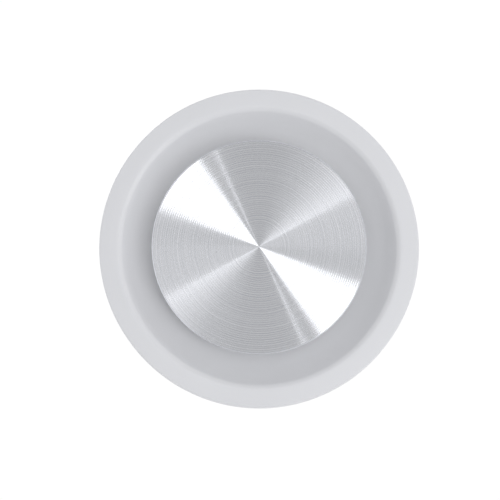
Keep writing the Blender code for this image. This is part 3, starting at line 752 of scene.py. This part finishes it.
def makeWasher(name, node, body, finish, size, split=False):
    low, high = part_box(node)
    bore = size["bore"]
    outer = size["outer"]
    edge = size["edge"]
    corners = [(bore, high.z, edge), (outer, high.z, edge), (outer, low.z, edge), (bore, low.z, edge)]
    washer = turned(name, filleted(corners, 3), finish, 96)
    if split:
        half = size["slit"] / 2
        past = outer + mm
        sides = [(0.0, -half), (past, -half), (past, half), (0.0, half)]
        slit = plate("slit", sides, low.z - mm, high.z + mm)
        slit.data.transform(Matrix.Rotation(math.radians(size["slitTurn"]), 4, "Z"))
        washer = cut(washer, slit, "DIFFERENCE")
    settle(washer, body, finish, [node])


makeSpider(spiderSizes)
makeSpiderScrews(screwSizes)
makeBush(bushSizes)
makeWasher("lockWasher", "lock_washer", "housing", springSteel, washerSizes, split=True)
makeWasher("clampWasher", "clamp_washer", "disc", zincSteel, washerSizes)
print("spider, screws, bush and washers made")


# Nuts, bolt and end clip

hexSizes = {"flat": 6.5 * mm, "bore": 4.3 * mm, "spread": 0.5 * mm, "lead": 0.5 * mm, "edge": 0.12 * mm}
spindleSizes = {
    "radius": 4 * mm,
    "pitch": 1.25 * mm,
    "depth": 0.62 * mm,
    "rowsPerPitch": 9,
    "steps": 40,
    "head": 5.3 * mm,
    "tip": 0.8 * mm,
    "grooveRadius": 3.2 * mm,
    "grooveGap": 0.3 * mm,
}
endClipSizes = {"outer": 7.2 * mm, "prong": 3.5 * mm, "relief": 5.2 * mm, "mouth": 29, "edge": 0.1 * mm}


def hexagon(name, low, high, finish, size, bore):
    # hexagon with turned chamfers; the bore is part of the turned blank
    corner = size["flat"] / math.cos(math.radians(30))
    sides = arcPoints((0.0, 0.0), corner, 30, 330, 5)
    outside = corner + size["spread"]
    drop = (outside - size["flat"]) * math.tan(math.radians(30))
    blank = [(size["flat"], high), (outside, high - drop), (outside, low + drop), (size["flat"], low)]
    if bore:
        lead = size["lead"]
        blank += [(bore + lead, low), (bore, low + lead), (bore, high - lead), (bore + lead, high)]
    else:
        blank = [(0.0, high)] + blank + [(0.0, low)]
    shape = turned(name, [Vector(p) for p in blank], finish, 96, closed=bool(bore))
    return cut(shape, plate("hexagon", sides, low - mm, high + mm), "INTERSECT")


def makeNut(name, node, body):
    low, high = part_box(node)
    nut = hexagon(name, low.z, high.z, zincSteel, hexSizes, hexSizes["bore"])
    nut = softenEdges(nut, hexSizes["edge"], 2, 25)
    settle(nut, body, zincSteel, [node], 30)


def makeSpindle(size):
    low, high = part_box("spindle_bolt")
    clipLow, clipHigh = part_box("end_clip")
    gap = size["grooveGap"]
    headTop = low.z + size["head"]
    spacing = size["pitch"] / size["rowsPerPitch"]
    tip = size["tip"]
    outline = [Vector((0.0, high.z)), Vector((size["radius"] - tip, high.z))]
    count = int((high.z - tip - headTop) / spacing)
    for i in range(count + 1):
        z = high.z - tip - i * spacing
        inGroove = clipLow.z - gap < z < clipHigh.z + gap
        outline.append(Vector((size["grooveRadius"] if inGroove else size["radius"], z)))
    outline += [Vector((size["radius"], headTop - mm)), Vector((0.0, headTop - mm))]
    thread = (size["radius"], size["pitch"], size["depth"])
    shank = turned("spindle", outline, zincSteel, size["steps"], closed=False, thread=thread)
    shank = cut(shank, hexagon("boltHead", low.z, headTop, zincSteel, hexSizes, 0.0), "UNION")
    settle(shank, "disc", zincSteel, ["spindle_bolt"], 50)


def makeEndClip(size):
    # open retaining ring with three prongs that bite into the spindle's groove
    low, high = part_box("end_clip")
    prong = size["prong"]
    relief = size["relief"]
    mouth = size["mouth"]
    outline = arcPoints((0.0, 0.0), size["outer"], mouth, 360 - mouth, 48)
    stops = [(360 - mouth, 318, prong), (312, 198, relief), (192, 168, prong)]
    stops += [(162, 48, relief), (42, mouth, prong)]
    for start, end, radius in stops:
        outline += arcPoints((0.0, 0.0), radius, start, end, max(3, abs(start - end) // 6))
    clip = softenEdges(plate("endClip", outline, low.z, high.z), size["edge"], 2, 50)
    settle(clip, "disc", springSteel, ["end_clip"])


makeNut("lockNut", "lock_nut", "lock_nut")
makeNut("clampNut", "clamp_nut", "disc")
makeSpindle(spindleSizes)
makeEndClip(endClipSizes)
print("nuts, spindle and end clip made")


# Spring and its cup

springSizes = {"radius": 6 * mm, "wire": 0.45 * mm, "turns": 6.0, "flatness": 0.6}
cupSizes = {"wall": 0.7 * mm, "outer": 7.9 * mm, "bore": 4.3 * mm}


def makeSpring(size):
    low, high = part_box("compression_spring")
    values = {
        "Radius": size["radius"],
        "Wire Radius": size["wire"],
        "Turns": size["turns"],
        "Bottom": low.z + size["wire"],
        "Top": high.z - size["wire"],
        "Flatness": size["flatness"],
        "Finish": springSteel,
    }
    spring = grown(lineObject("compressionSpring", [(0.0, 0.0), (0.0, mm)]), coilTree, values)
    settle(spring, None, springSteel, ["compression_spring"])
    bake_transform(spring)


def makeSpringSeat(size):
    low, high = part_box("spring_seat")
    outer = size["outer"]
    bore = size["bore"]
    inside = outer - size["wall"]
    floor = low.z + size["wall"]
    corners = [(outer, high.z, 0.3 * mm), (outer, low.z, 0.6 * mm), (bore, low.z, 0.2 * mm)]
    corners += [(bore, floor, 0.2 * mm), (inside, floor, 0.3 * mm), (inside, high.z, 0.3 * mm)]
    cup = turned("springSeat", filleted(corners, 4), zincSteel, 96)
    settle(cup, "spring_seat", zincSteel, ["spring_seat"])


makeSpring(springSizes)
makeSpringSeat(cupSizes)
print("spring and seat made")


# Disc: carrier, seal, pad and turned face

carrierSizes = {
    "radius": 49.6 * mm,
    "plate": 1.8 * mm,
    "bossRadius": 10.2 * mm,
    "ledgeRadius": 46.6 * mm,
    "ledgeWidth": 1.2 * mm,
    "ledgeHeight": 0.8 * mm,
    "ribs": 6,
    "ribWidth": 1.6 * mm,
    "ribHeight": 3 * mm,
    "pocketDepth": 5.9 * mm,
}
sealSizes = {"inner": 46.9 * mm, "outer": 49.5 * mm, "shoulder": 0.45}
padSizes = {"edge": 0.1 * mm}
# the real tool marks are about 0.2 mm apart, and drawn coarser so that they show
faceSizes = {"steps": 180, "chamfer": 0.45 * mm, "groovePitch": 0.5 * mm, "grooveTilt": 0.45}


def makeCarrier(size):
    low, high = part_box("disc_carrier")
    back = low.z + size["plate"]
    ledge = size["ledgeRadius"]
    ledgeInner = ledge - size["ledgeWidth"]
    corners = [
        (0.0, high.z, 0.0),
        (size["bossRadius"], high.z, 0.4 * mm),
        (size["bossRadius"], back, 0.8 * mm),
        (ledgeInner, back, 0.3 * mm),
        (ledgeInner, back + size["ledgeHeight"], 0.2 * mm),
        (ledge, back + size["ledgeHeight"], 0.2 * mm),
        (ledge, back, 0.0),
        (size["radius"], back, 0.2 * mm),
        (size["radius"], low.z, 0.2 * mm),
        (0.0, low.z, 0.0),
    ]
    carrier = turned("discCarrier", filleted(corners, 4), carrierAbs, 144, closed=False)
    half = size["ribWidth"] / 2
    ribTop = back + size["ribHeight"]
    side = [
        (size["bossRadius"] - 2 * mm, low.z + mm),
        (ledgeInner + 0.5 * mm, low.z + mm),
        (ledgeInner + 0.5 * mm, back + size["ledgeHeight"] / 2),
        (ledgeInner - 2 * mm, ribTop),
        (size["bossRadius"] - 2 * mm, ribTop),
    ]
    rib = plate("rib", side, -half, half)
    rib.data.transform(Matrix.Rotation(math.pi / 2, 4, "X"))
    carrier = cut(carrier, roundAxis(rib, size["ribs"], 0.0, carrierAbs), "UNION")
    corner = (hexSizes["flat"] + 0.3 * mm) / math.cos(math.radians(30))
    sides = arcPoints((0.0, 0.0), corner, 30, 330, 5)
    pocket = plate("pocket", sides, low.z - mm, low.z + size["pocketDepth"])
    carrier = cut(carrier, pocket, "DIFFERENCE")
    bore = plate("bore", arcPoints((0.0, 0.0), hexSizes["bore"], 0, 350, 35), low.z, high.z + mm)
    carrier = cut(carrier, bore, "DIFFERENCE")
    settle(carrier, "disc", carrierAbs, ["disc_carrier"])


def makeSeatSeal(size):
    low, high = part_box("seat_seal")
    shoulder = low.z + size["shoulder"] * (high.z - low.z)
    middle = (size["inner"] + size["outer"]) / 2
    half = (size["outer"] - size["inner"]) / 2
    outline = [Vector((size["inner"], low.z))]
    for i in range(13):
        angle = math.pi * (1 - i / 12)
        rise = (high.z - shoulder) * math.sin(angle)
        outline.append(Vector((middle + half * math.cos(angle), shoulder + rise)))
    outline.append(Vector((size["outer"], low.z)))
    settle(turned("seatSeal", outline, rubber), "disc", rubber, ["seat_seal"])


def makePad(size):
    low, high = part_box("adhesive_pad")
    edge = size["edge"]
    corners = [(0.0, high.z, 0.0), (high.x, high.z, edge), (high.x, low.z, edge), (0.0, low.z, 0.0)]
    pad = turned("adhesivePad", filleted(corners, 2), padFoam, 96, closed=False)
    settle(pad, "disc", padFoam, ["adhesive_pad"])


def makeFace(size):
    low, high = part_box("face_disc")
    rim = high.x
    edge = size["chamfer"]
    last = rim - edge - 0.05 * mm
    depth = size["grooveTilt"] * size["groovePitch"] / 4
    outline = [Vector((0.0, high.z)), Vector((rim / 2, high.z)), Vector((rim - mm, high.z))]
    outline += filleted([
        (rim - mm, high.z, 0.0),
        (rim, high.z, 0.15 * mm),
        (rim, low.z + edge, 0.05 * mm),
        (rim - edge, low.z, 0.03 * mm),
        (last, low.z, 0.0),
    ], 3)[1:-1]
    # four rings to a groove: crest, flank, bottom, flank. Every other groove is shallower.
    section = (0, 1, 2, 1, 0, 0.7, 1.4, 0.7)
    rows = int(last / size["groovePitch"] * 4)
    for i in range(rows, 0, -1):
        outline.append(Vector((last * i / rows, low.z + depth * section[i % len(section)])))
    outline.append(Vector((0.0, low.z)))
    face = turned("faceDisc", outline, aluminium, size["steps"], closed=False)
    settle(face, "disc", aluminium, ["face_disc"], 32)


makeCarrier(carrierSizes)
makeSeatSeal(sealSizes)
makePad(padSizes)
makeFace(faceSizes)
print("disc made")


# Spring clips

clipSizes = {
    "width": 9 * mm,
    "thickness": 0.5 * mm,
    "gap": 0.3 * mm,
    "innerLeg": 10 * mm,
    "outerLeg": 24 * mm,
    "bow": 4.6 * mm,
    "halfWave": 34 * mm,
    "pivotZ": 49 * mm,
}


def makeSpringClips(size):
    pivotRadius = (valveBodySizes["neckBore"] + valveBodySizes["neckRadius"]) / 2
    neckWall = valveBodySizes["neckRadius"] - valveBodySizes["neckBore"]
    bend = neckWall / 2 + size["gap"] + size["thickness"] / 2
    path = [Vector((-bend, -size["innerLeg"] * (1 - i / 6))) for i in range(6)]
    path += arcPoints((0.0, 0.0), bend, 180, 0, 20)
    for i in range(1, 33):
        depth = size["outerLeg"] * i / 32
        path.append(Vector((bend + size["bow"] * math.sin(math.pi * depth / size["halfWave"]), -depth)))
    for number in range(3):
        angle = valveBodySizes["firstClip"] + number * fullTurn / 3
        line = lineObject(f"springClip{number + 1}", [(p.x, p.y, 0.0) for p in path])
        values = {"Thickness": size["thickness"], "Width": size["width"], "Finish": springSteel}
        clip = grown(line, stripTree, values)
        stand = Matrix.Translation((pivotRadius, 0.0, size["pivotZ"])) @ Matrix.Rotation(math.pi / 2, 4, "X")
        clip.data.transform(Matrix.Rotation(angle, 4, "Z") @ stand)
        settle(clip, f"clip_{number + 1}", springSteel, [f"spring_clip_{number + 1}"])


makeSpringClips(clipSizes)
print("spring clips made")


# Stage, light and camera

stageSizes = {"floorZ": -2.4, "floorSide": 240.0}
cameraSizes = {
    "lens": 184.0,
    "distance": 1.2,
    "tilt": 6.0,
    "aim": (-4.27 * mm, -1.0 * mm),  # to the right and up in the view
    "aimZ": -9 * mm,
    "clip": (0.01, 500),
}
studioSizes = {"sky": 1.02, "skyLight": 0.82, "ambient": 0.5, "haze": 0.762, "horizon": 5.0, "leanSoft": 3.0}
topLightSizes = {"size": 0.7, "energy": 8.0, "place": (-0.9, -0.7, 1.3)}
# Soft panels under the face. Turns run from +X towards -Y, as the camera sees them,
# and leans from straight down.
softPanels = [
    {"name": "key", "turn": (310, 348), "soft": (0.5, 2), "lean": (20, 60), "power": 1.7},
    {"name": "fill", "turn": (120, 155), "soft": (0.5, 2), "lean": (20, 60), "power": 0.1},
    {"name": "side", "turn": (35.5, 48), "soft": (0.5, 16), "lean": (20, 60), "power": 0.84},
    {"name": "streak", "turn": (110, 112), "soft": (0.5, 0.5), "lean": (20, 60), "power": 1.1},
    {"name": "front", "turn": (165, 235), "soft": (6, 20), "lean": (-5, 38), "power": 0.41},
    {"name": "near", "turn": (-60, 90), "soft": (15, 15), "lean": (-2, 20), "power": 1.2},
    {"name": "middle", "turn": (-25, 40), "soft": (10, 10), "lean": (20, 50), "power": 0.23},
    {"name": "right", "turn": (-70, 70), "soft": (15, 15), "lean": (65, 78), "power": 1.0},
    {"name": "left", "turn": (130, 230), "soft": (10, 10), "lean": (60, 88), "power": 0.5},
    {"name": "bottom", "turn": (240, 290), "soft": (10, 10), "lean": (45, 85), "power": 0.15},
]


def makeFloor(size):
    material, tree, shader, place = newFinish("paleFloor", Roughness=0.9)
    mottle = addNode(tree, "ShaderNodeTexNoise", {"Vector": place, "Scale": 1.2, "Detail": 2.0})
    dress(tree, shader, (mottle.outputs[0], "#f5f5f6", "#f8f8f9"))
    half = size["floorSide"] / 2
    mesh = bpy.data.meshes.new("floor")
    corners = [(-half, -half), (half, -half), (half, half), (-half, half)]
    mesh.from_pydata([(x, y, size["floorZ"]) for x, y in corners], [], [(0, 1, 2, 3)])
    floor = linked("floor", mesh)
    mesh.materials.append(material)
    # the panels shine from below, where the floor would hide them
    floor.visible_diffuse = False
    floor.visible_glossy = False
    floor.visible_shadow = False


def makeStudio(size):
    # white sky above, and below the face a dim surround with a few bright panels in it
    world = bpy.data.worlds.new("studio")
    bpy.context.scene.world = world
    world.use_nodes = True
    tree = world.node_tree
    tree.nodes.clear()
    way = addNode(tree, "ShaderNodeTexCoord").outputs["Generated"]
    parts = addNode(tree, "ShaderNodeSeparateXYZ", {0: way}).outputs
    across = addNode(tree, "ShaderNodeMath", {0: parts["Y"], 1: -1.0}, operation="MULTIPLY").outputs[0]
    turn = addNode(tree, "ShaderNodeMath", {0: across, 1: parts["X"]}, operation="ARCTAN2").outputs[0]
    down = addNode(tree, "ShaderNodeMath", {0: parts["Z"], 1: -1.0}, operation="MULTIPLY").outputs[0]
    lean = addNode(tree, "ShaderNodeMath", {0: down}, operation="ARCCOSINE").outputs[0]
    leanSoft = math.radians(size["leanSoft"])
    light = size["ambient"]
    for panel in softPanels:
        start, end = (math.radians(angle) for angle in panel["turn"])
        startSoft, endSoft = (math.radians(angle) for angle in panel["soft"])
        leanFrom, leanTo = (math.radians(angle) for angle in panel["lean"])
        half = (end - start) / 2
        shifted = addNode(tree, "ShaderNodeMath", {0: turn, 1: start + half}, operation="SUBTRACT")
        within = {0: shifted.outputs[0], 1: math.pi, 2: -math.pi}
        away = addNode(tree, "ShaderNodeMath", within, operation="WRAP").outputs[0]
        # each of a panel's four edges fades from dark to lit
        edges = [(away, -half - startSoft, -half + startSoft), (away, half + endSoft, half - endSoft)]
        edges.append((lean, leanFrom - leanSoft, leanFrom + leanSoft))
        edges.append((lean, leanTo + leanSoft, leanTo - leanSoft))
        shape = panel["power"]
        for value, dark, lit in edges:
            fade = {"Value": value, "From Min": dark, "From Max": lit}
            edge = addNode(tree, "ShaderNodeMapRange", fade, interpolation_type="SMOOTHSTEP").outputs[0]
            shape = addNode(tree, "ShaderNodeMath", {0: edge, 1: shape}, operation="MULTIPLY").outputs[0]
        light = addNode(tree, "ShaderNodeMath", {0: shape, 1: light}, operation="ADD").outputs[0]
    # the camera sees a white sky and, past the floor's edge, a pale haze: never the panels themselves
    seen = addNode(tree, "ShaderNodeLightPath").outputs["Is Camera Ray"]
    below = addNode(tree, "ShaderNodeMix", {"Factor": seen, "A": light, "B": size["haze"]}).outputs[0]
    skies = {"Factor": seen, "A": size["skyLight"], "B": size["sky"]}
    above = addNode(tree, "ShaderNodeMix", skies).outputs[0]
    dusk = {"Value": parts["Z"], "From Min": -math.sin(math.radians(size["horizon"])), "From Max": 0.0}
    height = addNode(tree, "ShaderNodeMapRange", dusk, interpolation_type="SMOOTHSTEP").outputs[0]
    strength = addNode(tree, "ShaderNodeMix", {"Factor": height, "A": below, "B": above}).outputs[0]
    surround = addNode(tree, "ShaderNodeBackground", {"Color": (1, 1, 1, 1), "Strength": strength})
    output = tree.nodes.new("ShaderNodeOutputWorld")
    tree.links.new(surround.outputs[0], output.inputs[0])


def makeTopLight(size):
    # gives the neck and the works inside it a lit side; the face never sees it
    data = bpy.data.lights.new("topLight", "AREA")
    data.size = size["size"]
    data.energy = size["energy"]
    lamp = linked("topLight", data)
    place = Vector(size["place"])
    lamp.matrix_world = Matrix.Translation(place) @ place.to_track_quat("Z", "Y").to_matrix().to_4x4()


def makeCamera(size):
    # looks up at the face, tilted a little so that nearer pieces shift towards the top
    data = bpy.data.cameras.new("camera")
    data.lens = size["lens"]
    data.clip_start, data.clip_end = size["clip"]
    camera = linked("camera", data)
    tilt = math.radians(size["tilt"])
    back = Vector((0.0, math.sin(tilt), -math.cos(tilt)))
    up = Vector((0.0, -math.cos(tilt), -math.sin(tilt)))
    right = up.cross(back)
    target = Vector((0.0, 0.0, size["aimZ"])) + right * size["aim"][0] + up * size["aim"][1]
    rotation = Matrix((right, up, back)).transposed()
    camera.matrix_world = Matrix.Translation(target + back * size["distance"]) @ rotation.to_4x4()
    bpy.context.scene.camera = camera


makeFloor(stageSizes)
makeStudio(studioSizes)
makeTopLight(topLightSizes)
makeCamera(cameraSizes)
bpy.context.scene.view_settings.view_transform = "Standard"
print("stage made")
